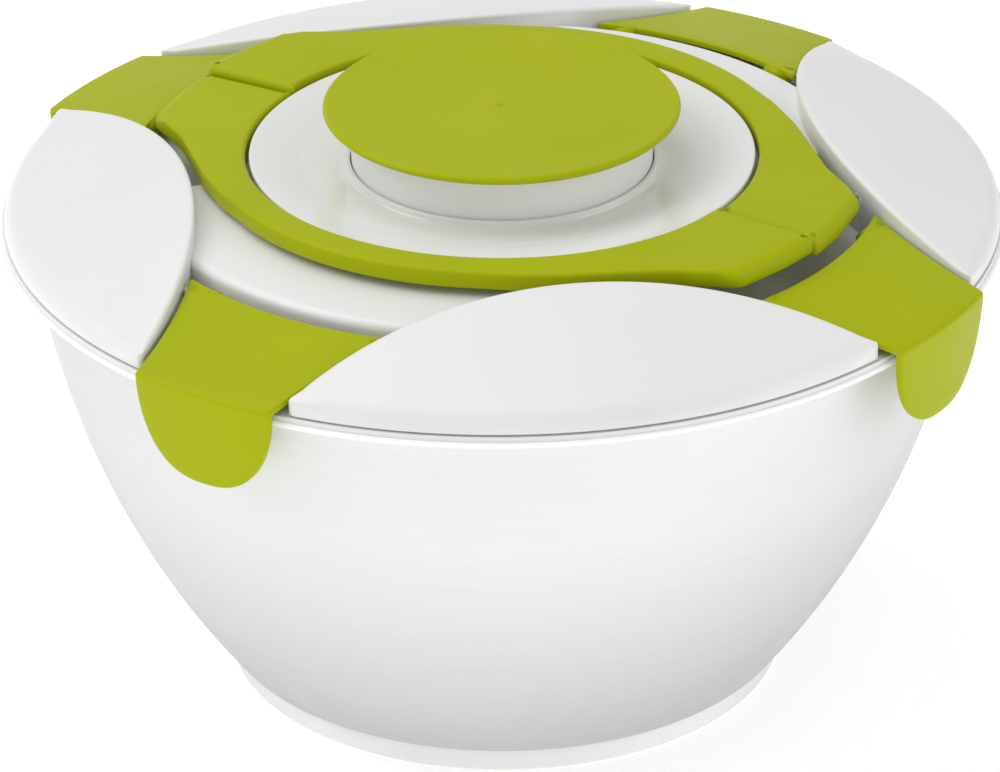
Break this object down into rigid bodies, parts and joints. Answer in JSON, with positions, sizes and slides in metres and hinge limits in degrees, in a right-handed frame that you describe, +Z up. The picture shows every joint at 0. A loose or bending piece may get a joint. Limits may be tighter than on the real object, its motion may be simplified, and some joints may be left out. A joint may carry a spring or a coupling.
{
  "type": "salad spinner",
  "caption": "Press-knob salad spinner: milky bowl, white lid with raised petals, lime clip latches and a split ring that folds up into a carry handle.",
  "frame": {"origin": "centre of the foot on the table", "axes": "+Z up along the spin axis, +X along the carry handle's hinge line towards one latch, -Y towards the front latch"},
  "size_m": [0.28, 0.28, 0.1636],
  "materials": {
    "frosted_bowl": "translucent milky plastic, satin outside",
    "foot_rubber": "translucent non-slip rubber",
    "basket_plastic": "semi-matt moulded",
    "white_plastic": "soft satin moulded",
    "white_gloss": "polished",
    "lime_plastic": "fine matt texture",
    "inner_plastic": "moulded, plain",
    "seal_silicone": "silicone",
    "steel": "plain steel"
  },
  "bodies": {
    "bowl": {"bowl": "frosted_bowl", "foot_ring": "foot_rubber"},
    "basket": {"basket": "basket_plastic"},
    "lid": {"lid_base": "white_plastic", "lid_cover": "white_plastic", "dish_plate": "white_gloss", "lid_seal": "seal_silicone", "drive_housing": "inner_plastic", "housing_screws": "steel", "retaining_ring": "inner_plastic", "latch_pins": "steel", "handle_pins": "steel", "spring_seat": "inner_plastic"},
    "knob": {"knob_cap": "lime_plastic", "knob_collar": "white_plastic", "knob_screw": "steel", "spindle": "inner_plastic", "return_spring": "steel"},
    "drive_nut": {"drive_nut": "inner_plastic"},
    "drive_disc": {"drive_disc": "inner_plastic"},
    "handle_front": {"handle_front": "lime_plastic"},
    "handle_rear": {"handle_rear": "lime_plastic"},
    "latch_right": {"latch_right": "lime_plastic"},
    "latch_rear": {"latch_rear": "lime_plastic"},
    "latch_left": {"latch_left": "lime_plastic"},
    "latch_front": {"latch_front": "lime_plastic"}
  },
  "joints": [
    {"name": "lid_lift", "type": "slide", "parent": "bowl", "child": "lid", "axis": [0, 0, 1], "range_m": [0, 0.16]},
    {"name": "basket_spin", "type": "hinge", "parent": "bowl", "child": "basket", "pos_m": [0, 0, 0.018], "axis": [0, 0, 1], "continuous": true},
    {"name": "disc_spin", "type": "hinge", "parent": "lid", "child": "drive_disc", "pos_m": [0, 0, 0.113], "axis": [0, 0, 1], "continuous": true},
    {"name": "knob_press", "type": "slide", "parent": "lid", "child": "knob", "axis": [0, 0, -1], "range_m": [0, 0.012], "stiffness_N_per_m": 500, "springref_m": -0.012, "deforming": ["return_spring"]},
    {"name": "nut_turn", "type": "hinge", "parent": "lid", "child": "drive_nut", "pos_m": [0, 0, 0.118], "axis": [0, 0, 1], "range_deg": [0, 180]},
    {"name": "handle_front_fold", "type": "hinge", "parent": "lid", "child": "handle_front", "pos_m": [0, -0.0054, 0.145], "axis": [-1, 0, 0], "range_deg": [0, 84]},
    {"name": "handle_rear_fold", "type": "hinge", "parent": "lid", "child": "handle_rear", "pos_m": [0, 0.0054, 0.145], "axis": [1, 0, 0], "range_deg": [0, 84]},
    {"name": "latch_right_open", "type": "hinge", "parent": "lid", "child": "latch_right", "pos_m": [0.101, 0, 0.1396], "axis": [0, -1, 0], "range_deg": [0, 42]},
    {"name": "latch_rear_open", "type": "hinge", "parent": "lid", "child": "latch_rear", "pos_m": [0, 0.101, 0.1396], "axis": [1, 0, 0], "range_deg": [0, 42]},
    {"name": "latch_left_open", "type": "hinge", "parent": "lid", "child": "latch_left", "pos_m": [-0.101, 0, 0.1396], "axis": [0, 1, 0], "range_deg": [0, 42]},
    {"name": "latch_front_open", "type": "hinge", "parent": "lid", "child": "latch_front", "pos_m": [0, -0.101, 0.1396], "axis": [-1, 0, 0], "range_deg": [0, 42]}
  ],
  "couplings": [
    {"joint": "disc_spin", "follows": "basket_spin", "ratio": 1},
    {"joint": "nut_turn", "follows": "knob_press", "rad_per_m": 261.8}
  ]
}
